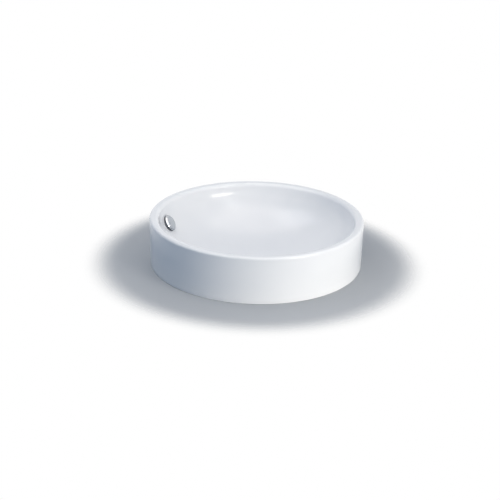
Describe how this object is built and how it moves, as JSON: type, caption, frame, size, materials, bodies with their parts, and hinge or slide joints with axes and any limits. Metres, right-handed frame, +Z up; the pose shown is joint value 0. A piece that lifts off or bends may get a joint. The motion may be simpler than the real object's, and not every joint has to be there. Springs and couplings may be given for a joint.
{
  "type": "countertop basin",
  "caption": "Round white ceramic countertop basin with a straight outside wall, a covered overflow high on the inside wall and a push-to-open waste below the bowl.",
  "frame": {"origin": "centre of the foot ring, on the plane of the counter's top", "axes": "+Z up along the bowl's axis, +Y to the rear, where the overflow is, -Y towards the user"},
  "size_m": [0.4199, 0.42, 0.202],
  "materials": {
    "glazed_ceramic": "white gloss glaze",
    "sealing_cord": "matt",
    "dark_plastic": "moulded",
    "black_rubber": "matt",
    "chrome_plate": "polished",
    "clear_plastic": "milky",
    "white_plastic": "moulded",
    "bare_brass": "machined",
    "stainless_steel": "turned"
  },
  "bodies": {
    "root": {"basin_bowl": "glazed_ceramic", "foot_seal": "sealing_cord", "overflow_sleeve": "dark_plastic", "overflow_seal": "black_rubber", "overflow_cap": "chrome_plate", "waste_body": "chrome_plate", "waste_flange_seal": "clear_plastic", "boss_washer": "black_rubber", "slip_washer": "white_plastic", "backnut": "bare_brass", "cartridge_housing": "bare_brass", "cartridge_locknut": "bare_brass", "cartridge_gland": "bare_brass", "spindle_seal": "black_rubber", "cartridge_spring": "stainless_steel"},
    "plug": {"plug_cap": "chrome_plate", "plug_seal": "black_rubber", "plug_nut": "stainless_steel", "cartridge_plunger": "stainless_steel"},
    "latch_ring": {"cartridge_rotor": "white_plastic"}
  },
  "joints": [
    {"name": "plug_press", "type": "slide", "parent": "root", "child": "plug", "axis": [0, 0, 1], "range_m": [0, 0.008], "deforming": ["cartridge_spring"]},
    {"name": "latch_step", "type": "hinge", "parent": "plug", "child": "latch_ring", "pos_m": [0, 0, -0.056], "axis": [0, 0, 1], "range_deg": [0, 45.1]}
  ],
  "couplings": [
    {"joint": "latch_step", "follows": "plug_press", "rad_per_m": 98.17}
  ]
}
